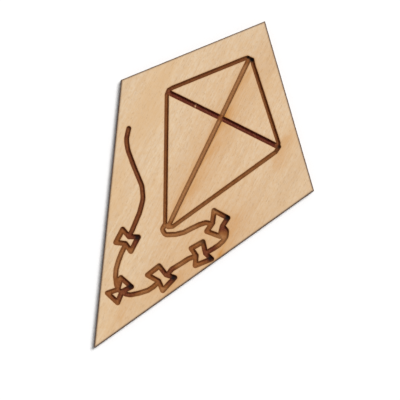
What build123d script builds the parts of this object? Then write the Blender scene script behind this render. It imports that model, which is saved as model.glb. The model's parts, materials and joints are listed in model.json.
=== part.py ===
"""Laser-cut and engraved plywood kite: a flat craft blank for a play set.

Three birch veneers and two films of glue make a 3 mm board. The outline of a kite is
cut from the board, and a picture of a kite is burnt into the face: a diamond with its
spar and spine, and a tail that carries five tied bows and ends in a loose string.
The burnt lines go right through the face veneer and a little way into the core, so
they part the face veneer, and the glue film under it, into separate islands.

X runs across the kite, Y from its bottom corner to its top corner, Z out of the
engraved face. The origin is the middle of the blank's box, on the plane of the back.
"""
from build123d import *
import os

# Outline of the blank, mm. Reach is measured square to the line from the top corner
# to the bottom corner, and height along it, from its middle.
BLANK_LENGTH = 75.0
LEFT_REACH = 20.33
LEFT_HEIGHT = 13.47
RIGHT_REACH = 24.77
RIGHT_HEIGHT = 11.62

# Board, mm, from the back up
VENEER = 0.94
GLUE_FILM = 0.09

# Burnt lines, mm
ENGRAVING_DEPTH = 1.2
EDGE_LINE = 0.86  # width of the diamond's four sides
SPINE_LINE = 0.98
SPAR_LINE = 1.12
TAIL_LINE = 1.04
BOW_LINE = 1.08
STRING_LINE = 1.02

TAIL_BEND = 0.7  # tightest inside radius where the tail turns
STRING_BEND = 4.0  # radius of the string's gentle turns

# Levels of the board's layers, mm
BACK_TOP = VENEER
CORE_BOTTOM = BACK_TOP + GLUE_FILM
CORE_TOP = CORE_BOTTOM + VENEER
FACE_BOTTOM = CORE_TOP + GLUE_FILM
FACE_TOP = FACE_BOTTOM + VENEER
GROOVE_FLOOR = FACE_TOP - ENGRAVING_DEPTH

# The picture, as centre lines of the beam, mm, from the middle of the line that joins
# the blank's top and bottom corners
DIAMOND_TOP = [(-0.22, 28.86), (0.32, 29.42), (1.35, 29.5), (1.95, 28.75)]
DIAMOND_RIGHT = [(13.92, 16.95), (14.42, 16.0), (14.3, 15.0)]
DIAMOND_BOTTOM = [(2.7, -8.25), (1.95, -8.74), (1.2, -8.6)]
DIAMOND_LEFT = [(-10.8, 15.1), (-10.9, 16.1), (-10.38, 16.92)]
SPINE = [(0.72, 29.2), (1.18, 15.92), (1.66, -1.0), (1.93, -8.3)]
SPAR = [(-10.6, 15.68), (1.18, 15.99), (14.3, 16.2)]

BOWS = {
    "bow_1": [(8.72, -1.42), (11.87, -1.43), (11.7, -3.45), (12.2, -5.5), (9.35, -5.85), (9.6, -3.8)],
    "bow_2": [(9.65, -8.1), (11.2, -9.95), (12.82, -10.38), (10.5, -13.12), (9.7, -11.25), (8.15, -10.4)],
    "bow_3": [(4.0, -16.62), (6.1, -17.55), (7.9, -17.25), (6.97, -20.7), (5.35, -19.4), (2.77, -19.35)],
    "bow_4": [(-1.8, -22.35), (0.95, -23.0), (-0.3, -24.75), (-0.05, -27.15), (-2.75, -26.4), (-1.25, -24.75)],
    "bow_5": [(-6.05, -13.43), (-4.25, -14.15), (-2.5, -13.35), (-2.5, -16.62), (-4.2, -15.75), (-6.05, -16.45)],
}

TAIL = {
    "diamond to bow 1": [
        (1.15, -8.7), (1.1, -9.75), (2.2, -10.38), (4.0, -9.35), (5.3, -8.2), (6.4, -6.65), (7.4, -5.3),
        (8.3, -4.4), (9.5, -4.0),
    ],
    "bow 1 to bow 2": [
        (11.7, -3.4), (12.9, -3.85), (13.3, -5.0), (13.2, -6.1), (12.8, -7.2), (12.2, -8.3), (11.4, -9.6),
    ],
    "bow 2 to bow 3": [(9.7, -11.3), (8.6, -12.6), (7.87, -13.9), (6.6, -16.0), (6.35, -17.3)],
    "bow 3 to bow 4": [
        (5.4, -19.6), (4.9, -21.0), (4.25, -22.1), (2.85, -23.5), (1.55, -24.55), (0.6, -24.85), (-0.6, -24.8),
    ],
    "bow 4 to bow 5": [
        (-1.0, -24.8), (-1.9, -24.1), (-2.85, -22.7), (-3.45, -21.3), (-3.8, -19.7), (-4.02, -18.0),
        (-4.1, -15.9),
    ],
}
STRING = [
    (-4.2, -14.2), (-4.25, -12.6), (-4.56, -8.9), (-5.22, -6.0), (-6.6, -3.8), (-9.95, -1.0), (-12.55, 1.35),
    (-13.88, 3.1), (-14.47, 5.4),
]

# A point inside each island of the face veneer, in the same coordinates
ISLANDS = {
    "face_field": (-8.0, 0.0),
    "sail_upper_left": (-3.0, 20.0),
    "sail_upper_right": (5.0, 20.0),
    "sail_lower_left": (-3.0, 10.0),
    "sail_lower_right": (5.0, 10.0),
    "bow_1_centre": (10.6, -3.5),
    "bow_2_centre": (10.3, -10.4),
    "bow_3_centre": (5.5, -18.4),
    "bow_4_upper_loop": (-0.6, -23.6),
    "bow_4_lower_loop": (-1.1, -26.0),
    "bow_5_centre": (-3.2, -15.0),
}


def burnt_line(points, width, bend=0.0):
    """The mark of one pass of the beam: a band with round ends along a bent path."""
    return SlotArc(FilletPolyline(*points, radius=bend), width)


def burnt_loop(corners, width):
    """The mark of a pass round a closed loop of straight sides."""
    sides = zip(corners, corners[1:] + corners[:1])
    return Sketch() + [SlotArc(Line(start, end), width) for start, end in sides]


def outline_sketch():
    """The blank's four-cornered outline."""
    half = BLANK_LENGTH / 2
    return make_face(
        Polyline((0, half), (-LEFT_REACH, LEFT_HEIGHT), (0, -half), (RIGHT_REACH, RIGHT_HEIGHT), close=True)
    )


def engraving_sketch():
    """Everything that the beam burnt away, as one flat figure."""
    corners = DIAMOND_TOP + DIAMOND_RIGHT + DIAMOND_BOTTOM + DIAMOND_LEFT
    marks = [burnt_loop(corners, EDGE_LINE)]
    marks += [burnt_line(SPINE, SPINE_LINE), burnt_line(SPAR, SPAR_LINE)]
    marks += [burnt_loop(bow, BOW_LINE) for bow in BOWS.values()]
    marks += [burnt_line(stretch, TAIL_LINE, TAIL_BEND) for stretch in TAIL.values()]
    marks.append(burnt_line(STRING, STRING_LINE, STRING_BEND))
    return Sketch() + marks


def island_sketches(outline):
    """What the beam left of the face: each named island, without the specks that burn off."""
    areas = (outline - engraving_sketch()).faces()
    return {name: next(area for area in areas if area.is_inside(point)) for name, point in ISLANDS.items()}


def layer(sketch, bottom, top):
    """A slab of one flat figure between two levels, in the blank's own frame."""
    middle = (RIGHT_REACH - LEFT_REACH) / 2
    return Pos(-middle, 0, bottom) * extrude(sketch, top - bottom)


def build():
    """Every layer and island of the board, by name."""
    outline = outline_sketch()
    islands = island_sketches(outline)
    grooves = outline - list(islands.values())

    pieces = {
        "back_veneer": layer(outline, 0, BACK_TOP),
        "lower_glue_film": layer(outline, BACK_TOP, CORE_BOTTOM),
        "core_veneer": layer(outline, CORE_BOTTOM, CORE_TOP) - layer(grooves, GROOVE_FLOOR, CORE_TOP),
    }
    for name, island in islands.items():
        pieces[name] = layer(island, FACE_BOTTOM, FACE_TOP)
        pieces["glue_under_" + name] = layer(island, CORE_TOP, FACE_BOTTOM)
    return pieces


pieces = build()
os.makedirs("parts", exist_ok=True)
for name, piece in pieces.items():
    piece.label = name
    export_step(piece, f"parts/{name}.step")
    print(f"{name:32s} {piece.volume:9.3f} mm3")
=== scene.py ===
# %% [markdown]
# # A kite burnt into plywood
#
# The real object is a flat craft blank. A laser cuts the outline of a kite from 3 mm birch
# plywood, and the same beam, out of focus, burns a picture of a kite deep into the face:
# a diamond with its spar and spine, and a tail of five tied bows.
#
# Nothing on it moves, so the whole lesson is about surface: pale veneer with its pores, walls
# that the beam charred and ribbed, a rough brown floor in each burnt line, and smoke stains.
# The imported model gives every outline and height. The veneers are then made again from
# numpy arrays, because a burnt edge needs far more points than a machine part has.

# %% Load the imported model
import json
import math

import bpy
import numpy as np
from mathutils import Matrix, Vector
from mathutils.geometry import delaunay_2d_cdt


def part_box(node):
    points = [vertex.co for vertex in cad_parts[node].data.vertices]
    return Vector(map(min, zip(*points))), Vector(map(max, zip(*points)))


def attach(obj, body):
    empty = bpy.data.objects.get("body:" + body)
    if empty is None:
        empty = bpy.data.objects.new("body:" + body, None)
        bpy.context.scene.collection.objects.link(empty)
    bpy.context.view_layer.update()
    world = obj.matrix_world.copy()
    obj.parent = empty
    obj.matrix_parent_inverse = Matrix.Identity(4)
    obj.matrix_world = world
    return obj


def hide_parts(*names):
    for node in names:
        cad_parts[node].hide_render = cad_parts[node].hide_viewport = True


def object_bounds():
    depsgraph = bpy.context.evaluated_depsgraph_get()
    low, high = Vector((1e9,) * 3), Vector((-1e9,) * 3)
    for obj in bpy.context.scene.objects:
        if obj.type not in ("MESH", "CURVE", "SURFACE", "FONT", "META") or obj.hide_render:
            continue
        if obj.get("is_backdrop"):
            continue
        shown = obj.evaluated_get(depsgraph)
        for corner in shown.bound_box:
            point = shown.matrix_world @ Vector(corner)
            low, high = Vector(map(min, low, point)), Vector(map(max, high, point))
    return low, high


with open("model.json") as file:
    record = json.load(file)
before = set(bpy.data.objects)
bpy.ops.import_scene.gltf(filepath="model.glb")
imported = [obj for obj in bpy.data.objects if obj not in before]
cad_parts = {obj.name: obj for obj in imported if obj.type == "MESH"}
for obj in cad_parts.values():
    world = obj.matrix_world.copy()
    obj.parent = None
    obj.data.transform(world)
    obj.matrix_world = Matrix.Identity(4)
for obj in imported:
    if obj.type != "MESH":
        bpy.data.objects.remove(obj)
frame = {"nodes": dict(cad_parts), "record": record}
cad_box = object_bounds()
PER_METRE = 1000.0  # lengths are in millimetres until a mesh is written
print("CAD box, mm:", [[round(c * PER_METRE, 2) for c in corner] for corner in cad_box])


# %% [markdown]
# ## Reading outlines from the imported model
#
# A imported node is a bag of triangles. The outlines could be typed in again, but two copies of
# one shape drift apart, so they are read back: weld the corners, keep the triangles that lie
# in one level and face up, and keep their sides that no neighbour shares. Those sides,
# followed end to end, are the outlines, with the wood on their left.

# %% Weld a node's triangles
def welded(node):
    """A node's points, in millimetres, and its triangles as rows of point numbers."""
    mesh = frame["nodes"][node].data
    mesh.calc_loop_triangles()
    places = np.empty(len(mesh.vertices) * 3, np.float32)
    mesh.vertices.foreach_get("co", places)
    corners = np.empty(len(mesh.loop_triangles) * 3, np.int32)
    mesh.loop_triangles.foreach_get("vertices", corners)
    rounded = np.round(places.reshape(-1, 3).astype(float) * PER_METRE, 4)
    points, number = np.unique(rounded, axis=0, return_inverse=True)
    return points, number.reshape(-1)[corners].reshape(-1, 3)


# %% Follow the outlines at one level
SAME_LEVEL = 0.001


def cross(first, second):
    """The flat cross product of each pair of rows: positive where the second is to the left."""
    return first[:, 0] * second[:, 1] - first[:, 1] * second[:, 0]


def area_inside(path):
    """Area inside a closed outline, from the cross products of its neighbouring points."""
    return abs(cross(path, np.roll(path, -1, axis=0)).sum()) / 2


def outlines_at(node, level):
    """The closed outlines of a node's upward faces at one height, the outermost first."""
    points, triangles = welded(node)
    flat = triangles[np.abs(points[triangles, 2] - level).max(axis=1) < SAME_LEVEL]
    first, second, third = (points[flat[:, i], :2] for i in range(3))
    flat = flat[cross(second - first, third - first) > 0]
    sides = {(a, b) for row in flat.tolist() for a, b in zip(row, row[1:] + row[:1])}
    follows = {a: b for a, b in sides if (b, a) not in sides}
    outlines = []
    while follows:
        corner = max(follows, key=lambda number: tuple(points[number, 1::-1]))
        path = []
        while corner in follows:
            path.append(corner)
            corner = follows.pop(corner)
        outlines.append(points[path, :2])
    return sorted(outlines, key=area_inside, reverse=True)


# %% Heights and outlines of the board
slots = {part["node"]: part["material_slot"] for part in frame["record"]["subparts"]}
islands = [node for node, slot in slots.items() if slot == "face_wood"]
glue_films = [node for node, slot in slots.items() if slot == "glue"]

face_bottom, face_top = (corner.z * PER_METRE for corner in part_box("face_field"))
core_bottom, core_top = (corner.z * PER_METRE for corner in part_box("core_veneer"))
back_bottom, back_top = (corner.z * PER_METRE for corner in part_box("back_veneer"))
floor_level = np.unique(welded("core_veneer")[0][:, 2])[-2]  # the core's highest level but one

island_outlines = {node: outlines_at(node, face_top) for node in islands}
board_outline = outlines_at("back_veneer", back_top)[0]
line_outlines = [path for node in islands for path in island_outlines[node]][1:]
print("face", round(face_top, 2), "groove floor", floor_level, "islands", len(islands))
print("sides of burnt outlines:", sum(len(path) for path in line_outlines))


# %% [markdown]
# ## Tools for flat shapes
#
# Four small tools do all the flat work: split an outline into short even steps, point out of
# the wood at each step, measure how deep a point is inside an outline, and fill an outline
# with triangles. Filling by fans or strips fails on a shape with a crooked hole, so the
# filling is a constrained Delaunay triangulation, which takes any outlines and any points.

# %% Split and offset outlines
BLUNTEST = 0.45  # keeps a needle-sharp corner from moving out too far


def stepped(outline, spacing):
    """Each side of a closed outline cut into equal steps no longer than the spacing."""
    side = np.roll(outline, -1, axis=0) - outline
    steps = np.maximum(1, np.ceil(np.linalg.norm(side, axis=1) / spacing)).astype(int)
    place = np.arange(steps.sum()) - np.repeat(np.cumsum(steps) - steps, steps)
    share = place / np.repeat(steps, steps)
    return np.repeat(outline, steps, axis=0) + np.repeat(side, steps, axis=0) * share[:, None]


def outward(outline):
    """A direction out of the wood at each point: the mean of its two sides' right-hand
    normals, made longer at a corner so that both sides move out by one unit."""
    side = np.roll(outline, -1, axis=0) - outline
    normal = np.stack([side[:, 1], -side[:, 0]], axis=1) / np.linalg.norm(side, axis=1, keepdims=True)
    mean = (normal + np.roll(normal, 1, axis=0)) / 2
    return mean / np.maximum((mean**2).sum(axis=1, keepdims=True), BLUNTEST)


def along(outline):
    """Distance travelled round the outline at each point."""
    steps = np.linalg.norm(np.roll(outline, -1, axis=0) - outline, axis=1)
    return np.cumsum(steps) - steps


# %% Measure depth inside outlines
BLOCK = 1500  # points measured at a time, to bound the memory


def blocks(count):
    """Point numbers in runs of at most one block."""
    return np.array_split(np.arange(count), count // BLOCK + 1)


def inside(points, outlines):
    """Whether each point is inside the outlines: a ray from it to the right crosses their
    sides an odd number of times."""
    start = np.concatenate(outlines)
    end = np.concatenate([np.roll(path, -1, axis=0) for path in outlines])
    odd = np.zeros(len(points), bool)
    for block in blocks(len(points)):
        spot = points[block]
        crossed = (spot[:, None, 1] < start[:, 1]) != (spot[:, None, 1] < end[:, 1])
        row, side = np.nonzero(crossed)
        share = (spot[row, 1] - start[side, 1]) / (end[side, 1] - start[side, 1])
        right = spot[row, 0] < start[side, 0] + share * (end[side, 0] - start[side, 0])
        odd[block] = np.bincount(row[right], minlength=len(block)) % 2 == 1
    return odd


def depth_inside(points, outlines):
    """Distance from each point to the nearest side, negative outside the outlines. The
    nearest place on a side is the point's projection, kept between the side's ends."""
    start = np.concatenate(outlines)
    side = np.concatenate([np.roll(path, -1, axis=0) - path for path in outlines])
    gap = np.empty(len(points))
    for block in blocks(len(points)):
        apart = points[block, None, :] - start
        share = np.clip((apart * side).sum(axis=2) / (side**2).sum(axis=1), 0, 1)
        gap[block] = np.linalg.norm(apart - share[..., None] * side, axis=2).min(axis=1)
    return np.where(inside(points, outlines), gap, -gap)


# %% Place inner points and fill with triangles
COARSENING = 0.35  # how much wider the steps of each next row are
CLEARANCE = 0.86  # share of its distance that a point must keep from every side
ROW_HEIGHT = 0.87  # of a grid of even triangles, as a share of their side
SAME_PLACE = 1e-7


def rows_of_points(outlines, distances, spacing, wood):
    """Rows of points beside outlines, one row at each distance: positive into the wood,
    negative out of it. A point that another side is nearer to is dropped, so rows never
    cross in a narrow tip."""
    rows = []
    for number, distance in enumerate(distances):
        paths = [stepped(path, spacing * (1 + COARSENING * number)) for path in outlines]
        row = np.concatenate([path - distance * outward(path) for path in paths])
        clear = depth_inside(row, wood) * np.sign(distance) > CLEARANCE * abs(distance)
        rows.append(row[clear])
    return np.concatenate(rows)


def grid_of_points(outlines, margin, spacing):
    """A staggered grid of points at least one margin inside the outlines."""
    low, high = (pick([pick(path, axis=0) for path in outlines], axis=0) for pick in (np.min, np.max))
    columns, rows = np.arange(low[0], high[0], spacing), np.arange(low[1], high[1], spacing * ROW_HEIGHT)
    x, y = np.meshgrid(columns, rows)
    x[1::2] += spacing / 2
    points = np.stack([x.ravel(), y.ravel()], axis=1)
    return points[depth_inside(points, outlines) > margin]


def filled(outlines, inner):
    """Triangles over the area inside closed outlines, through every inner point. Points are
    numbered outline after outline, and then the inner ones."""
    points = np.concatenate([*outlines, inner])
    sides, first = [], 0
    for path in outlines:
        ring = np.arange(first, first + len(path))
        sides += np.stack([ring, np.roll(ring, -1)], axis=1).tolist()
        first += len(path)
    corners = [Vector(point) for point in points.tolist()]
    _, _, faces, origin, _, _ = delaunay_2d_cdt(corners, sides, [], 0, SAME_PLACE, True)
    number = np.array([sources[0] if sources else -1 for sources in origin])
    triangles = number[np.array(faces)]
    assert triangles.min() >= 0, "two outlines cross"
    return triangles[inside(points[triangles].mean(axis=1), outlines)]


# %% [markdown]
# ## Unevenness
#
# A laser's line is nearly straight, but the wood isn't even: hard grain burns less, and each
# pulse leaves a rib. Two recipes of smooth random numbers cover both. They are seeded, so the
# board comes out the same each time.

# %% Smooth random numbers
TABLE_SIDE = 256
WAVE = 0.9  # length of an outline's slow waves
NOTCH = 0.22  # length of its fine notches


def cloud(x, y, seed):
    """Smooth random values from -1 to 1 over a plane: random numbers on a unit grid, joined
    by the easing curve 3t^2 - 2t^3."""
    table = np.random.default_rng(seed).uniform(-1, 1, (TABLE_SIDE, TABLE_SIDE))
    column, row = np.floor(x).astype(int), np.floor(y).astype(int)
    u, v = ((part * part * (3 - 2 * part)) for part in (x - column, y - row))
    left, right = column % TABLE_SIDE, (column + 1) % TABLE_SIDE
    lower, upper = row % TABLE_SIDE, (row + 1) % TABLE_SIDE
    near, far = (table[left, side] * (1 - u) + table[right, side] * u for side in (lower, upper))
    return near * (1 - v) + far * v


def ragged(outline, amount, seed):
    """The outline with its points moved in and out: slow waves and fine notches together."""
    x, y = outline[:, 0], outline[:, 1]
    wave = 0.6 * cloud(x / WAVE, y / WAVE, seed) + 0.4 * cloud(x / NOTCH, y / NOTCH, seed + 1)
    return outline + outward(outline) * (amount * wave)[:, None]


# %% [markdown]
# ## The shape of a burnt wall
#
# The beam is widest at the face, so a line narrows as it goes down, and the outline's cut
# does too, which leaves the blank a hair wider at its back. Seen from one side, a wall is a
# profile: a small round at the lip, and then a slope. Carrying that profile along an outline
# gives a grid of points, one row for each depth, and ribs are added on the way.

# %% Profile carried along an outline
LIP = 0.05  # depth lost at the very edge of the face
LIP_REACH = 0.12  # how far in from the edge the lip's round begins
LINE_LEAN = 0.23  # how far a burnt line's wall has leaned out at the veneer's underside
LINE_CURVE = 2.4  # 1 would be a straight slope, more is rounder
CUT_LEAN = 0.23  # how far the outer wall leans out over the board's thickness
RIB_PITCH = 0.16
RIB_HEIGHT = 0.014
RIB_DRIFT = 0.8  # how fast the fine ribs wander on the way down
BROAD_RIB = 2.7  # pitch of the broad ribs, as a share of the fine ones
BROAD_DRIFT = 1.7
BROAD_SHARE = 0.6
RIB_START = 0.15  # depth at which the ribs have their full height


def lean_of_line(down):
    """Distance out of the wood at a depth in a burnt line: a power of the depth, so that the
    line's cross-section is a U."""
    return LINE_LEAN * np.clip(down / (face_top - face_bottom), 0, None) ** LINE_CURVE


def lean_of_cut(down):
    """Distance out of the wood at a depth in the outer cut: straight."""
    return CUT_LEAN * down / (face_top - back_bottom)


def wall(outline, depths, lean, seed):
    """A grid of points, depths by outline points: the outline moved out by the lean at each
    depth, plus ribs that fade in below the lip and wander slowly as they go down."""
    travelled = along(outline)
    down = depths[:, None]
    across, deep = np.broadcast_arrays(travelled, down)
    ribs = cloud(across / RIB_PITCH, deep * RIB_DRIFT, seed)
    ribs += BROAD_SHARE * cloud(across / (BROAD_RIB * RIB_PITCH), deep * BROAD_DRIFT, seed + 5)
    out = lean(down) + RIB_HEIGHT * ribs * np.clip(down / RIB_START, 0, 1)
    flat = outline[None] + outward(outline)[None] * out[..., None]
    height = np.broadcast_to(face_top - down, out.shape)
    return np.concatenate([flat, height[..., None]], axis=2)


# %% [markdown]
# ## From arrays to a mesh
#
# A veneer is closed: its walls, a cap on top and a cap below. The caps' triangles come from
# the flat outlines, so they fit any wall that grew from those outlines. Each point also
# carries facts that the finishes need: how far the nearest burnt line is, how far the outer
# cut is, how deep the point lies, how far along the wall it is, and how smoky, how hot, how
# over-burnt and how bare its place is. At the bows, how hot and how over-burnt also carry
# painted shade on the side towards the key light.

# %% Write one closed sheet
CREASE = math.radians(38)  # sides that meet at a larger angle stay crisp


def write_piece(name, points, faces, facts):
    """A mesh object at the origin, with one float attribute for each fact."""
    mesh = bpy.data.meshes.new(name)
    mesh.from_pydata((points / PER_METRE).tolist(), [], faces)
    for fact, values in facts.items():
        attribute = mesh.attributes.new(fact, "FLOAT", "POINT")
        attribute.data.foreach_set("value", values.astype(np.float32))
    mesh.shade_smooth()
    mesh.set_sharp_from_angle(angle=CREASE)
    piece = bpy.data.objects.new(name, mesh)
    bpy.context.scene.collection.objects.link(piece)
    print(f"{name}: {len(points)} points, {len(faces)} faces")
    return piece


def closed_sheet(walls, caps):
    """Joins walls and caps. walls is a list of grids; caps is a top and a bottom, each a pair
    of inner points and triangles. Returns all points, faces, and the walls' point count."""
    rings = [grid.shape[1] for grid in walls]
    points, faces, first = [], [], 0
    top, bottom = [], []
    for grid, count in zip(walls, rings):
        number = first + np.arange(grid.shape[0] * count).reshape(-1, count)
        after = np.roll(number, -1, axis=1)
        quads = np.stack([number[:-1], number[1:], after[1:], after[:-1]], axis=2)
        faces += quads.reshape(-1, 4).tolist()
        points.append(grid.reshape(-1, 3))
        top.append(number[0])
        bottom.append(number[-1])
        first += number.size
    walls_count = first
    for ring, (inner, triangles), order in ((top, caps[0], 1), (bottom, caps[1], -1)):
        number = np.concatenate([*ring, first + np.arange(len(inner))])
        faces += number[triangles][:, ::order].tolist()
        points.append(inner)
        first += len(inner)
    return np.concatenate(points), faces, walls_count


# %% [markdown]
# ## Where the beam lingered, and where the smoke went
#
# The beam slows down at a corner and burns deeper there, nearly black. At the bows the
# corners and lines on the side towards the key light are made darker still: partly deeper
# burn and partly painted shade, for the walls there that the light leaves in shade. Smoke was
# blown towards the right-hand side of the board and stained it orange beside the spine, beyond
# the diamond's right corner, and beside the bows. Both are facts about places, so they are
# numbers worked out for each point, and the finishes only read them.

# %% Corners where the beam lingered
BURN_AND_SHADE_SIDE = np.array([0.8, 0.6])  # the side of each bow that is darkest: deeper burn there, and painted shade for the walls that the key light leaves in shade
LEAST_SOOT = 0.2  # strength of a spot at a corner square to the dark side
SIDE_SOOT_AND_SHADE = 0.7  # how much stronger it is at a corner that points to that side: partly deeper burn, partly painted shade
SHARP_TURN = math.radians(35)
BEYOND_CORNER = 0.675  # from a corner of the wood to the middle of the line round it
BOW_SPOT = 0.7  # reach of a spot at a bow's corner
LONELY = 1.2  # a corner nearer than this to other bow wood is the crossing of bow 4


def sharp_corners(outline):
    """Corners that turn left sharply, and their directions out of the wood. The turn is the
    angle between the two sides, from their cross and dot products."""
    back, ahead = outline - np.roll(outline, 1, axis=0), np.roll(outline, -1, axis=0) - outline
    turn = np.arctan2(cross(back, ahead), (back * ahead).sum(axis=1))
    pick = turn > SHARP_TURN
    direction = outward(outline)[pick]
    return outline[pick], direction / np.linalg.norm(direction, axis=1, keepdims=True)


linger_spots = []
bows = [node for node in islands if node.startswith("bow")]
for node in bows:
    corners, direction = sharp_corners(island_outlines[node][0])
    # Corners towards the key light get more soot: partly a longer dwell, partly painted shade.
    strength = np.clip(LEAST_SOOT + SIDE_SOOT_AND_SHADE * direction @ BURN_AND_SHADE_SIDE, 0, 1)
    others = [path for other in bows if other != node for path in island_outlines[other]]
    spots = corners + direction * BEYOND_CORNER
    alone = depth_inside(spots, others) < -LONELY
    linger_spots += [(*spot, BOW_SPOT, force) for spot, force in zip(spots[alone], strength[alone])]


def place(node, across, up, shift=(0.0, 0.0)):
    """A point at a share of the width and height of a node's box, moved by a shift."""
    low, high = (np.array(corner)[:2] * PER_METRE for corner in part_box(node))
    return low + (high - low) * (across, up) + shift


SIDEWAYS = np.array([0.5, 0.0])  # from the sail's tips to the middle of the line round them
UPWARDS = np.array([0.0, 0.5])
diamond = {
    "top": (place("sail_upper_left", 1, 1) + place("sail_upper_right", 0, 1)) / 2 + UPWARDS,
    "left": (place("sail_upper_left", 0, 0) + place("sail_lower_left", 0, 1)) / 2 - SIDEWAYS,
    "right": (place("sail_upper_right", 1, 0) + place("sail_lower_right", 1, 1)) / 2 + SIDEWAYS,
    "bottom": (place("sail_lower_left", 1, 0) + place("sail_lower_right", 0, 0)) / 2 - UPWARDS,
}
linger_spots += [
    # across, up, reach, strength
    (*(diamond["top"] + (-0.5, 0.2)), 0.5, 0.8),
    (*(diamond["top"] + (0.3, 0.1)), 0.6, 1.0),
    (*(diamond["right"] + (0.1, 0.1)), 0.6, 0.7),
    (*(diamond["right"] + (0.0, -0.9)), 0.5, 0.5),
]


def lingered(points):
    """How over-burnt each place is, from 0: a bell curve round each spot, and the largest wins.
    The bow corners towards the key light are made stronger, partly as painted shade.
    """
    spots = np.array(linger_spots)
    apart = np.linalg.norm(points[:, None, :2] - spots[:, :2], axis=2)
    return (spots[:, 3] * np.exp(-((apart / spots[:, 2]) ** 2))).max(axis=1)


# %% Heat of each line, and painted shade at the bows
heat_and_shade_lines = [
    # start, end, heat, reach
    (diamond["left"], diamond["top"], 0.85, 0.5),
    (diamond["top"], diamond["right"], 0.7, 0.5),
    (diamond["right"], diamond["bottom"], 0.45, 0.5),
    (diamond["bottom"], diamond["left"], 0.7, 0.5),
    (diamond["top"], diamond["bottom"], 0.0, 0.5),
    (diamond["left"], diamond["right"], 1.4, 0.55),
    (place("bow_5_centre", 0.3, 4), place("face_field", 0.13, 0.57), 0.92, 2.5),
]
# Each bow burns darker on the side towards the key light: partly deeper burn, partly painted shade for its walls
# there.
BOW_HEATS_AND_SHADE = (
    # start and end along that side, from the bow's middle, and heat and reach
    (0.0, 0.1, 1.0, 0.9),
    (1.7, 1.8, 1.05, 1.05),
    (-1.7, -1.8, 0.6, 1.05),
)
for node in bows:
    middle = place(node, 0.5, 0.5)
    heat_and_shade_lines += [(middle + a * BURN_AND_SHADE_SIDE, middle + b * BURN_AND_SHADE_SIDE, *burn) for a, b, *burn in BOW_HEATS_AND_SHADE]
TAIL_HEAT = 0.25
TAIL_WEIGHT = 0.02


def offset_from_line(points, start, end):
    """From the nearest place on a straight line to each point: the point less its projection,
    which is kept between the line's ends."""
    side = end - start
    share = np.clip(((points[:, :2] - start) @ side) / (side @ side), 0, 1)
    return points[:, :2] - (start + share[:, None] * side)


def line_distance(points, start, end):
    """Distance from each point to a straight line."""
    return np.linalg.norm(offset_from_line(points, start, end), axis=1)


def heated_and_shaded(points):
    """How hard the nearest line was burnt, 0 to 1.4, with painted shade on the side of each bow
    towards the key light: a mean of all lines' heats, weighted by a bell curve of the distance to
    each, with the tail's own heat wherever no line is near."""
    weights = [np.exp(-((line_distance(points, a, b) / reach) ** 2)) for a, b, _, reach in heat_and_shade_lines]
    heats = np.array([heat for _, _, heat, _ in heat_and_shade_lines] + [TAIL_HEAT])
    weights = np.array(weights + [np.full(len(points), TAIL_WEIGHT)])
    return heats @ weights / weights.sum(axis=0)


# %% One fibre that stayed bare
FIBRE_SHARE = 0.25  # how far along the spar it lies
FIBRE_DROP = np.array([0.0, -0.08])  # how far off the spar's middle
FIBRE_HALF = np.array([-0.02, 0.28])  # from its middle to its end
FIBRE_REACH = 0.09
fibre = diamond["left"] + FIBRE_SHARE * (diamond["right"] - diamond["left"]) + FIBRE_DROP


def bare(points):
    """How bare each place is, 0 to 1: a bell curve of the distance to a hard fibre that
    crosses the spar, which the beam passed without burning it."""
    return np.exp(-((line_distance(points, fibre - FIBRE_HALF, fibre + FIBRE_HALF) / FIBRE_REACH) ** 2))


print("bare fibre at", fibre.round(2))


# %% Stains left by the smoke
UPWIND = 0.45  # how far a stain reaches against the wind, as a share of its reach
smoke_lines = [
    # start, end, reach to the right, strength
    (place("sail_lower_right", 0, 0.05), place("sail_lower_right", 0, 1), 1.7, 1.15),
    (place("sail_upper_right", 0, 0), place("sail_upper_right", 0, 0.85), 1.3, 0.95),
    (place("sail_upper_right", 1, 0.0, (1.3, 1.6)), place("sail_lower_right", 1, 0.9, (1.4, 0)), 1.3, 0.95),
    (place("bow_1_centre", 1, 1, (1.6, 1.0)), place("bow_1_centre", 1, 0, (2.4, -3.4)), 1.3, 0.9),
    (place("bow_2_centre", 1, 0.6, (1.3, 1.4)), place("bow_2_centre", 1, 0, (0.8, -3.2)), 0.9, 0.8),
    (place("bow_3_centre", 1, 1, (1.3, 0.5)), place("bow_3_centre", 1, 0, (0.9, -3.0)), 1.1, 0.75),
    (place("bow_4_lower_loop", 1, 1, (1.6, 0.0)), place("bow_4_lower_loop", 1, 0, (2.2, -3.0)), 1.4, 0.6),
    (place("sail_lower_right", 0, 0), place("sail_upper_right", 0, 0.6), 9.0, 0.5),
    (place("bow_3_centre", 1, 0), place("bow_1_centre", 1, 1), 6.0, 0.45),
]


def smoked(points):
    """How stained each place is, from 0: a bell curve across each smoke line, steeper on the
    side that the smoke was blown from, and the sum of all lines."""
    total = np.zeros(len(points))
    for start, end, reach, strength in smoke_lines:
        apart = offset_from_line(points, start, end)
        widths = np.where(apart[:, 0] > 0, reach, reach * UPWIND)
        total += strength * np.exp(-(apart**2).sum(axis=1) / (2 * widths**2))
    return total


print("spots where the beam lingered:", len(linger_spots), "smoke lines:", len(smoke_lines))


# %% [markdown]
# ## The face veneer's islands
#
# Every burnt line goes through the face veneer, so the field and each part of the sail and
# bows is a sheet of its own. Their caps are dense near an edge, where the lip rounds and the
# scorch fades within a tenth of a millimetre, and open in the middle.

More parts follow.
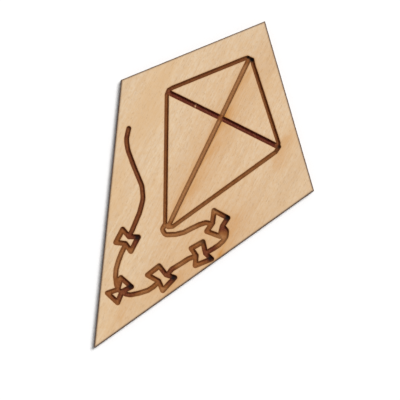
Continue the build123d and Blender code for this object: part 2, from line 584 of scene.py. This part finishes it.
# %% Make the islands
LINE_STEP = 0.11
CUT_STEP = 0.09
CAP_ROWS = (0.045, 0.11, 0.2, 0.36)  # distances in from an edge
CAP_GRID = 0.6
CAP_MARGIN = 0.55
CUT_RAG = 0.012  # how far the outer cut's lip wanders
LINE_RAG = 0.024
OUTLINE_SEED = 11
RIB_SEED = 31
FAR = 9.0  # a distance beyond which no finish looks
FACE_DEPTHS = np.array([0.0, 0.02, 0.07, 0.18, 0.36, 0.56, 0.76, 0.94])


def lip(depth):
    """Height lost near an edge: a bell curve of the distance in from it."""
    return LIP * np.exp(-((depth / LIP_REACH) ** 2))


def cap_points(outlines):
    """Inner points of a sheet's cap: dense rows beside its edges and a grid in the middle."""
    rows = rows_of_points(outlines, CAP_ROWS, LINE_STEP, outlines)
    return np.concatenate([rows, grid_of_points(outlines, CAP_MARGIN, CAP_GRID)])


def make_island(node):
    """One island of the face veneer as a closed sheet."""
    outlines = island_outlines[node]
    burnt = outlines[1:] if node == "face_field" else outlines
    paths = []
    for number, outline in enumerate(outlines):
        cut = node == "face_field" and number == 0
        path = stepped(outline, CUT_STEP if cut else LINE_STEP)
        paths.append(ragged(path, CUT_RAG if cut else LINE_RAG, OUTLINE_SEED + number))
    inner = cap_points(outlines)
    triangles = filled(paths, inner)
    top = np.column_stack([inner, face_top - lip(depth_inside(inner, outlines))])

    walls = []
    for number, path in enumerate(paths):
        cut = node == "face_field" and number == 0
        grid = wall(path, FACE_DEPTHS + LIP, lean_of_cut if cut else lean_of_line, RIB_SEED + number)
        grid[-1, :, 2] = face_bottom
        walls.append(grid)
    caps = [(top, triangles), (top[:0], filled(paths, inner[:0]))]
    points, faces, walls_count = closed_sheet(walls, caps)

    flat = points[:, :2]
    line = np.abs(depth_inside(flat, burnt))
    cut = np.abs(depth_inside(flat, [board_outline])) if node == "face_field" else np.full(len(points), FAR)
    travelled = np.concatenate([np.tile(along(path), len(FACE_DEPTHS)) for path in paths])
    facts = {
        "line": np.minimum(line, FAR),
        "cut": np.minimum(cut, FAR),
        "down": face_top - points[:, 2],
        "travelled": np.concatenate([travelled, np.zeros(len(points) - walls_count)]),
        "smoke": smoked(points),
        "linger": lingered(points),
        "browning_and_shade": heated_and_shaded(points),
        "bare": bare(points),
    }
    return write_piece("sheet_" + node, points, faces, facts)


sheets = {node: make_island(node) for node in islands}


# %% [markdown]
# ## The core veneer and its burnt floor
#
# The floor of every line is in the core. It could be a flat strip, but a beam's spot is
# hottest in the middle, so the floor is a shallow trough, and charred wood crumbles into a
# rough crust. The core's top is one cap over the whole blank: flat where the face veneer
# hides it, and dished in the lines, with rows of points that follow both walls.

# %% Make the core sheet
FLOOR_ROWS = (-0.03, -0.12, -0.2, -0.24, -0.29, -0.36, -0.44)  # distances out of the wood
FLOOR_STEP = 0.75 * LINE_STEP
RIM_ROW = (0.3,)
RIM_STEP = 0.5
FOOT = 0.215  # distance into a line where the face veneer's wall meets the floor
FLOOR_REACH = 0.27
FOOT_GAP = 0.004  # how far the core stays under the face veneer at a wall's foot
TROUGH = 0.05  # extra depth in the middle of a line
CRUST = 0.02  # roughness of the charred floor
CRUST_START = 0.15  # distance from the foot at which the floor is fully rough
CRUMB = 0.13  # size of the crust's fine crumbs
LUMP = 0.4
LUMP_SHARE = 0.8
CRUMB_SEED = 71
PIT = 0.12  # extra depth where the beam lingered
CORE_GRID = 1.2
FLAT_MARGIN = 0.25  # the flat core's points keep this far from the lines
EDGE_ROWS = 8


def floor_height(groove):
    """Height of the core at a distance into a line: flat under the wall's foot, and then
    down by a quarter of a sine wave, so that wall and floor make one U."""
    foot = face_bottom - FOOT_GAP
    share = np.sin(np.clip((groove - FOOT) / FLOOR_REACH, 0, 1) * math.pi / 2)
    return foot + (floor_level - TROUGH - foot) * share


def plain_wall(outline, top, bottom):
    """The outer cut's wall between two heights."""
    return wall(outline, face_top - np.linspace(top, bottom, EDGE_ROWS), lean_of_cut, RIB_SEED)


rim = ragged(stepped(board_outline, CUT_STEP), CUT_RAG, OUTLINE_SEED)
every_outline = [board_outline] + line_outlines
inner = np.concatenate([
    rows_of_points(line_outlines, FLOOR_ROWS, FLOOR_STEP, every_outline),
    rows_of_points([board_outline], RIM_ROW, RIM_STEP, every_outline),
    grid_of_points([board_outline], CORE_GRID / 2, CORE_GRID),
])
groove = -depth_inside(inner, every_outline)
keep = (groove > 0) | (groove < -FLAT_MARGIN)
inner, groove = inner[keep], groove[keep]
crumbs = cloud(*(inner / CRUMB).T, CRUMB_SEED)
crumbs += LUMP_SHARE * cloud(*(inner / LUMP).T, CRUMB_SEED + 1)
crumbs = CRUST * crumbs - PIT * np.clip(lingered(inner), 0, 1)
height = floor_height(groove) + crumbs * np.clip((groove - FOOT) / CRUST_START, 0, 1)
top = np.column_stack([inner, np.where(groove > 0, height, core_top)])
core_wall = plain_wall(rim, core_top, core_bottom)
caps = [(top, filled([rim], inner)), (top[:0], filled([rim], inner[:0]))]
points, faces, walls_count = closed_sheet([core_wall], caps)
facts = {
    "line": np.concatenate([np.full(walls_count, FAR), np.maximum(groove, 0)]),
    "down": face_top - points[:, 2],
    "travelled": np.concatenate([np.tile(along(rim), EDGE_ROWS), np.zeros(len(inner))]),
    "linger": lingered(points),
    "browning_and_shade": heated_and_shaded(points),
    "bare": bare(points),
}
core_sheet = write_piece("sheet_core", points, faces, facts)


# %% [markdown]
# ## The back veneer
#
# The back is the same sheet turned over: its lower cap is the one that shows, with the same
# dense rows along the edge, because the beam leaves at the back and singes it.

# %% Make the back sheet
BACK_LIP = 0.01  # height of the wall's end over the back
BACK_ROUND = 0.5  # the back's lip, as a share of the face's
BACK_INSET = 0.03  # how far out its bell curve is moved

inner = cap_points([board_outline])
rise = BACK_ROUND * lip(depth_inside(inner, [board_outline]) + BACK_INSET)
bottom = np.column_stack([inner, back_bottom + rise])
back_wall = plain_wall(rim, back_top, back_bottom + BACK_LIP)
caps = [(bottom[:0], filled([rim], inner[:0])), (bottom, filled([rim], inner))]
points, faces, walls_count = closed_sheet([back_wall], caps)
facts = {
    "cut": np.minimum(np.abs(depth_inside(points[:, :2], [board_outline])), FAR),
    "down": points[:, 2] - back_bottom,
    "travelled": np.concatenate([np.tile(along(rim), EDGE_ROWS), np.zeros(len(inner))]),
}
back_sheet = write_piece("sheet_back", points, faces, facts)


# %% [markdown]
# ## Writing finishes as sums
#
# A finish is a graph of nodes, and a graph that is built call by call is hard to read. Here
# one small class stands for a socket and takes Python's own operators, so that a mask can be
# written as 1 - near * 0.5. Colours are mixed by name, and any other node comes from one
# method, which takes its type, its settings and its inputs.

# %% A socket that takes operators
class Signal:
    """One output of a node, on which Python's operators build Math nodes."""

    def __init__(self, finish, socket):
        self.finish = finish
        self.socket = socket

    def sum_with(self, operation, other, swapped=False):
        pair = (other, self) if swapped else (self, other)
        return self.finish.node("ShaderNodeMath", {"operation": operation}, {0: pair[0], 1: pair[1]})

    def __add__(self, other):
        return self.sum_with("ADD", other)

    def __sub__(self, other):
        return self.sum_with("SUBTRACT", other)

    def __rsub__(self, other):
        return self.sum_with("SUBTRACT", other, swapped=True)

    def __mul__(self, other):
        return self.sum_with("MULTIPLY", other)

    __radd__ = __add__
    __rmul__ = __mul__

    def between(self, low, high):
        """0 below low, 1 above high, and an eased slope from one to the other."""
        return self.finish.node(
            "ShaderNodeMapRange", {"interpolation_type": "SMOOTHSTEP"},
            {"Value": self, "From Min": low, "From Max": high},
        )

    def fading(self, reach):
        """1 at nothing, falling by e for each reach: exp(-x / reach)."""
        return self.finish.node("ShaderNodeMath", {"operation": "EXPONENT"}, {0: self * (-1 / reach)})


# %% A finish
def linear(red, green, blue):
    """A colour given in everyday 0 to 255 numbers, as the light values that shaders use."""
    part = np.array([red, green, blue]) / 255
    light = np.where(part <= 0.04045, part / 12.92, ((part + 0.055) / 1.055) ** 2.4)
    return (*light.tolist(), 1.0)


class Finish:
    """A material under construction, with one shader."""

    def __init__(self, name, **constants):
        self.material = bpy.data.materials.new(name)
        self.material.use_nodes = True
        self.tree = self.material.node_tree
        self.shader = self.tree.nodes["Principled BSDF"]
        for socket, value in constants.items():
            self.shader.inputs[socket.replace("_", " ")].default_value = value

    def feed(self, socket, value):
        """Links a signal to a socket, or sets the socket's own number."""
        if isinstance(value, Signal):
            self.tree.links.new(value.socket, socket)
        else:
            socket.default_value = value

    def node(self, kind, settings=None, inputs=None, output=0):
        """Adds a node of any type: its settings first, then its inputs. Returns an output."""
        made = self.tree.nodes.new(kind)
        for setting, value in (settings or {}).items():
            setattr(made, setting, value)
        for socket, value in (inputs or {}).items():
            self.feed(made.inputs[socket], value)
        return Signal(self, made.outputs[output])

    def fact(self, name):
        """A number that the mesh carries at each point."""
        return self.node("ShaderNodeAttribute", {"attribute_name": name}, output="Fac")

    def mix(self, share, first, second, blend="MIX"):
        """One colour turning into another as the share goes from 0 to 1."""
        return self.node(
            "ShaderNodeMix", {"data_type": "RGBA", "blend_type": blend}, {0: share, 6: first, 7: second}, 2
        )

    def place(self, stretch, turn=0.0, shift=(0.0, 0.0, 0.0)):
        """The point's place, turned about Z and multiplied by a stretch per metre."""
        spot = self.node("ShaderNodeTexCoord", output="Object")
        return self.node(
            "ShaderNodeMapping", {},
            {"Vector": spot, "Location": shift, "Rotation": (0.0, 0.0, turn), "Scale": stretch},
        )

    def noise(self, where, scale=1.0, detail=2.0, roughness=0.5):
        """Cloudy values about one half."""
        return self.node(
            "ShaderNodeTexNoise", {},
            {"Vector": where, "Scale": scale, "Detail": detail, "Roughness": roughness},
        )

    def wall_place(self, ribs, drift):
        """A place on a wall: distance travelled and depth, so that a pattern stands upright."""
        return self.node(
            "ShaderNodeCombineXYZ", {},
            {"X": self.fact("travelled") * ribs, "Y": self.fact("down") * drift, "Z": 0.0},
        )

    def close(self, colour, roughness, bump, height):
        """Connects colour, roughness and a bump of the given height in metres."""
        self.feed(self.shader.inputs["Base Color"], colour)
        self.feed(self.shader.inputs["Roughness"], roughness)
        relief = self.node(
            "ShaderNodeBump", {}, {"Height": bump, "Strength": 1.0, "Distance": height}
        )
        self.feed(self.shader.inputs["Normal"], relief)
        return self.material


# %% [markdown]
# ## Birch veneer
#
# Sanded birch is nearly plain. Its figure is made of four quiet things: broad bands a few
# millimetres wide, fine lines along the grain with a felt-like mottle over them, short pores
# that show as darker dashes, and a warm tone that drifts across the sheet. The grain runs
# almost straight up the kite, so each pattern is stretched along it: its three numbers are
# waves per metre across the grain, along it and through the sheet. The same wood is on the
# face and the back, so one function gives the colour and the relief, and a shift picks
# another part of the log.

# %% Birch colour and relief
GRAIN_TURN = math.radians(-4.5)
PALE = linear(215, 191, 160)
MEAN = linear(208, 182, 151)
DEEP = linear(194, 158, 117)
WARM = linear(206, 168, 121)
PORE = linear(178, 141, 102)
SWAY = (90, 22, 90)
BANDS = (420, 26, 300)
LINES = (3600, 300, 900)
DASHES = (7000, 1100, 1500)
FELT = (2400, 1500, 1500)
PATCHES = (120, 45, 100)


def birch(finish, shift):
    """The colour of clean birch, and the height of its grain from 0 to 1."""
    elsewhere = (shift[0] + 5, shift[1], 0.0)
    sway = finish.noise(finish.place(SWAY, GRAIN_TURN, shift), detail=1.0)
    bands = finish.noise(finish.place(BANDS, GRAIN_TURN, shift), detail=3.0, roughness=0.6)
    lines = finish.noise(finish.place(LINES, GRAIN_TURN, shift), detail=3.0, roughness=0.65)
    dashes = finish.noise(finish.place(DASHES, GRAIN_TURN, shift), detail=1.0)
    felt = finish.noise(finish.place(FELT, GRAIN_TURN, shift), detail=2.0)
    patches = finish.noise(finish.place(PATCHES, GRAIN_TURN, elsewhere), detail=2.0)

    colour = finish.mix(bands.between(0.34, 0.66), MEAN, PALE)
    colour = finish.mix(lines.between(0.38, 0.74) * 0.55, colour, DEEP)
    colour = finish.mix(felt.between(0.35, 0.65) * 0.4, colour, WARM)
    colour = finish.mix(patches.between(0.42, 0.68) * 0.55, colour, WARM)
    colour = finish.mix(sway.between(0.5, 0.8) * 0.3, colour, DEEP)
    pores = dashes.between(0.64, 0.74)
    colour = finish.mix(pores * 0.4, colour, PORE)
    relief = lines * 0.5 + (1 - pores) * 0.5
    return colour, relief


# %% [markdown]
# ## Burnt wood
#
# How brown a burnt surface is depends on how slowly the beam passed. A fast pass only
# toasts the wood to a grey gold, a slower one turns it red-brown, and where the beam turned
# a corner there is soot. Walls are painted more golden near the face: a painted highlight for
# the light that falls on the upper part of a wall. The same recipe serves the walls of the face
# veneer and the floor in the core, so the two meet without a seam, and a second recipe serves
# the outer cut, where the beam went through and left upright ribs.

# %% Colours and relief of burnt wood
TOAST = linear(166, 118, 74)
BROWN = linear(143, 88, 43)
RED_BROWN = linear(98, 37, 23)
PAINTED_LIT_GOLD = linear(162, 98, 46)
ASH = linear(178, 128, 82)
UMBER = linear(60, 28, 17)
SOOT = linear(24, 14, 12)
BARE_FIBRE = linear(222, 172, 130)
CHAR_LIGHT = linear(118, 76, 46)
CHAR_DARK = linear(52, 31, 22)
CRUST_GRAIN = (4300, 4300, 3000)
HEAT_DRIFT = (620, 620, 500)
BLOTCHES = (1500, 1500, 700)


def burnt_line(finish):
    """The colour of a burnt line, and the height of its crust from 0 to 1."""
    # The browning read here is partly painted shade on the bows' side towards the key light.
    heat = finish.fact("browning_and_shade")
    crust = finish.noise(finish.place(CRUST_GRAIN), detail=3.0, roughness=0.65)
    slow = finish.noise(finish.place(HEAT_DRIFT), detail=2.0)
    heat = heat + slow * 0.6 - 0.3
    toasted = finish.mix(heat.between(0.0, 0.55), TOAST, BROWN)
    colour = finish.mix(heat.between(0.45, 1.3), toasted, RED_BROWN)
    # Painted highlight: the upper part of every wall is made lighter and more golden, for the light that falls
    # on it.
    upper = 1 - finish.fact("down").between(0.1, 0.8)
    colour = finish.mix(upper * 0.65, colour, PAINTED_LIT_GOLD)
    colour = finish.mix(crust.between(0.5, 0.75) * 0.35, colour, ASH)
    colour = finish.mix((1 - crust).between(0.5, 0.75) * 0.4, colour, UMBER)
    # Soot where the beam lingered; at the bow corners towards the key light it is partly painted shade.
    sooty = finish.fact("linger") + crust * 0.3 - 0.15
    colour = finish.mix(sooty.between(0.15, 0.85), colour, SOOT)
    return finish.mix(finish.fact("bare"), colour, BARE_FIBRE), crust


def cut_edge(finish):
    """The colour of the outer cut, and the height of its ribs from 0 to 1."""
    ribs = finish.noise(finish.wall_place(6.0, 0.9), detail=3.0, roughness=0.7)
    blotch = finish.noise(finish.place(BLOTCHES), detail=2.0)
    share = (ribs * 0.6 + blotch * 0.4).between(0.36, 0.64)
    return finish.mix(share, CHAR_DARK, CHAR_LIGHT), ribs


# %% [markdown]
# ## Scorched face veneer
#
# On top of the clean birch come the burns, each from a fact that the mesh carries. Smoke
# stains it orange in streaks along the grain. A thin golden rim follows each burnt line, and
# a darker one the outer cut. Below the lip the burnt wood takes over.

# %% Finish of the face veneer
STAIN = linear(190, 130, 56)
RIM_GOLD = linear(188, 134, 80)
RIM_DARK = linear(78, 54, 42)
GOLD_REACH = 0.13
SCORCH_REACH = 0.24
STREAKS = (2300, 240, 900)
FLICKER = (5200, 3600, 2000)
FACE_RELIEF = 0.00003  # metres

face = Finish("scorched_birch_face", Specular_IOR_Level=0.25)
clean, relief = birch(face, (0.0, 0.0, 0.0))
line, cut, down = (face.fact(name) for name in ("line", "cut", "down"))
streak = face.noise(face.place(STREAKS, GRAIN_TURN), detail=2.0)
flicker = face.noise(face.place(FLICKER), detail=2.0)
stained = face.mix(face.fact("smoke") * (0.22 + 0.75 * streak) * 0.62, clean, STAIN)
gold = line.fading(GOLD_REACH) * (0.4 + 0.8 * flicker)
colour = face.mix(gold.between(0.02, 1.0) * 0.9, stained, RIM_GOLD)
scorch = cut.fading(SCORCH_REACH) * (0.75 + 0.7 * flicker)
colour = face.mix(scorch.between(0.15, 1.0) * 0.9, colour, RIM_DARK)
burnt, crust = burnt_line(face)
charred, ribs = cut_edge(face)
below = down.between(0.05, 0.11)
beside_cut = (line - cut).between(0.0, 0.2)
colour = face.mix(below, colour, face.mix(beside_cut, burnt, charred))
bump = relief * (1 - below) + (crust + (ribs - crust) * beside_cut) * below
face_finish = face.close(colour, 0.62 + 0.2 * below, bump, FACE_RELIEF)


# %% [markdown]
# ## The core
#
# The core shows in two places: as the floor of each burnt line, and on the outer edge, where
# its grain runs across the kite, so it's end grain and chars a little darker.

# %% Finish of the core
CORE_RELIEF = 0.00005  # metres

core = Finish("burnt_core", Specular_IOR_Level=0.2)
burnt, crust = burnt_line(core)
charred, ribs = cut_edge(core)
end_grain = core.mix(0.35, charred, CHAR_DARK)
is_wall = core.fact("line").between(5.0, 6.0)
colour = core.mix(is_wall, burnt, end_grain)
core_finish = core.close(colour, 0.82, crust + (ribs - crust) * is_wall, CORE_RELIEF)


# %% [markdown]
# ## The back veneer and the glue
#
# The back is clean birch with a faint brown halo along the cut. The glue films stay as the
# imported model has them: two thin dark lines round the edge, which only need a finish, a dull
# brown resin with bubbles, since the walls beside them are ribbed and lean out past them.

# %% Finishes of the back and the glue
OTHER_WOOD = (3.7, 1.3, 0.4)  # shift to another part of the log
BACK_FLICKER = (3200, 2400, 2000)
HALO_REACH = 0.9
SINGE_REACH = 0.12
BUBBLES = (5200, 5200, 5200)
SMEARS = (900, 900, 900)
RESIN_DARK = linear(34, 20, 14)
RESIN_LIGHT = linear(74, 44, 27)
RESIN_SMEAR = linear(98, 62, 36)
GLUE_RELIEF = 0.00004  # metres

back = Finish("birch_back", Specular_IOR_Level=0.25)
clean, relief = birch(back, OTHER_WOOD)
cut, down = back.fact("cut"), back.fact("down")
flicker = back.noise(back.place(BACK_FLICKER), detail=2.0)
halo = cut.fading(HALO_REACH) * (0.1 + 0.35 * flicker) + cut.fading(SINGE_REACH) * (0.4 + 0.9 * flicker)
colour = back.mix(halo.between(0.02, 1.0), clean, RIM_DARK)
charred, ribs = cut_edge(back)
below = down.between(0.03, 0.08)
bump = relief * (1 - below) + ribs * below
back_finish = back.close(back.mix(below, colour, charred), 0.64 + 0.18 * below, bump, FACE_RELIEF)

glue = Finish("set_glue", Specular_IOR_Level=0.35)
bubbles = glue.noise(glue.place(BUBBLES), detail=2.0)
smear = glue.noise(glue.place(SMEARS), detail=1.0)
colour = glue.mix(bubbles.between(0.35, 0.65), RESIN_DARK, RESIN_LIGHT)
colour = glue.mix(smear.between(0.55, 0.75) * 0.5, colour, RESIN_SMEAR)
glue_finish = glue.close(colour, 0.5 + 0.25 * bubbles, bubbles, GLUE_RELIEF)


# %% [markdown]
# ## Putting the pieces in the model
#
# Each sheet rides on the one body there is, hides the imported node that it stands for, and
# takes its finish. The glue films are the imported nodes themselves.

# %% Ride, replace and finish
def install(piece, node, finish):
    """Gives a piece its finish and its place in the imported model."""
    piece.data.materials.append(finish)
    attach(piece, "root")
    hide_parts(node)


for node, sheet in sheets.items():
    install(sheet, node, face_finish)
install(core_sheet, "core_veneer", core_finish)
install(back_sheet, "back_veneer", back_finish)
for node in glue_films:
    film = frame["nodes"][node]
    film.data.materials.clear()
    film.data.materials.append(glue_finish)
print("sheets:", len(sheets) + 2, "glue films:", len(glue_films))


# %% [markdown]
# ## Floor, light and camera
#
# The blank lies face up on a plain pale floor. One soft key light stands high on the far
# right, so that each burnt line throws its own shadow across its floor, and an even sky
# fills the rest. The camera looks straight down with the kite turned to the right.

# %% Floor
FLOOR_SIZE = 1.6
FLOOR_GAP = 0.00002
PAPER_DIM = (0.9, 0.9, 0.9, 1)
PAPER_BRIGHT = (0.92, 0.92, 0.92, 1)
PAPER_TOOTH = (900, 900, 900)
PAPER_RELIEF = 0.00002

mesh = bpy.data.meshes.new("floor")
half = FLOOR_SIZE / 2
level = cad_box[0].z - FLOOR_GAP
corners = [(x, y, level) for x, y in ((-half, -half), (half, -half), (half, half), (-half, half))]
mesh.from_pydata(corners, [], [(0, 1, 2, 3)])
floor = bpy.data.objects.new("floor", mesh)
bpy.context.scene.collection.objects.link(floor)
paper = Finish("floor_paper", Specular_IOR_Level=0.1)
tooth = paper.noise(paper.place(PAPER_TOOTH), detail=2.0)
white = paper.mix(tooth, PAPER_DIM, PAPER_BRIGHT)
mesh.materials.append(paper.close(white, 0.9, tooth, PAPER_RELIEF))
floor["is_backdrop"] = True


# %% Light
KEY_HEIGHT = math.radians(69)
KEY_TURN = math.radians(16)  # from +Y towards +X
KEY_SOFTNESS = math.radians(15)
KEY_POWER = 2.9
SKY = 0.31

sun = bpy.data.lights.new("key", "SUN")
sun.energy = KEY_POWER
sun.angle = KEY_SOFTNESS
sun.color = (1.0, 1.0, 1.0)
key = bpy.data.objects.new("key", sun)
bpy.context.scene.collection.objects.link(key)
flat_part = math.cos(KEY_HEIGHT)
towards_key = Vector((math.sin(KEY_TURN) * flat_part, math.cos(KEY_TURN) * flat_part, math.sin(KEY_HEIGHT)))
key.rotation_euler = towards_key.to_track_quat("Z", "Y").to_euler()

world = bpy.data.worlds.new("studio")
world.use_nodes = True
world.node_tree.nodes["Background"].inputs["Color"].default_value = (1.0, 1.0, 1.0, 1.0)
world.node_tree.nodes["Background"].inputs["Strength"].default_value = SKY
bpy.context.scene.world = world


# %% Camera
VIEW_WIDTH = 0.0816  # metres across the picture, at the face
VIEW_TURN = math.radians(27.57)
VIEW_AT = Vector((0.00294, -0.00083, face_top / PER_METRE))
LENS = 250.0
NEAREST = 0.005  # metres from the camera at which the view starts

lens = bpy.data.cameras.new("camera")
lens.lens = LENS
lens.clip_start = NEAREST
camera = bpy.data.objects.new("camera", lens)
bpy.context.scene.collection.objects.link(camera)
camera.location = VIEW_AT + Vector((0, 0, VIEW_WIDTH * LENS / lens.sensor_width))
camera.rotation_euler = (0, 0, VIEW_TURN)
bpy.context.scene.camera = camera
bpy.context.scene.view_settings.view_transform = "Standard"


# %% Work out the sizes and finish
boxes = {name: [list(corner) for corner in box] for name, box in (("cad", cad_box), ("visual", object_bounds()))}
print("visual box, mm:", [[round(c * PER_METRE, 3) for c in corner] for corner in boxes["visual"]])
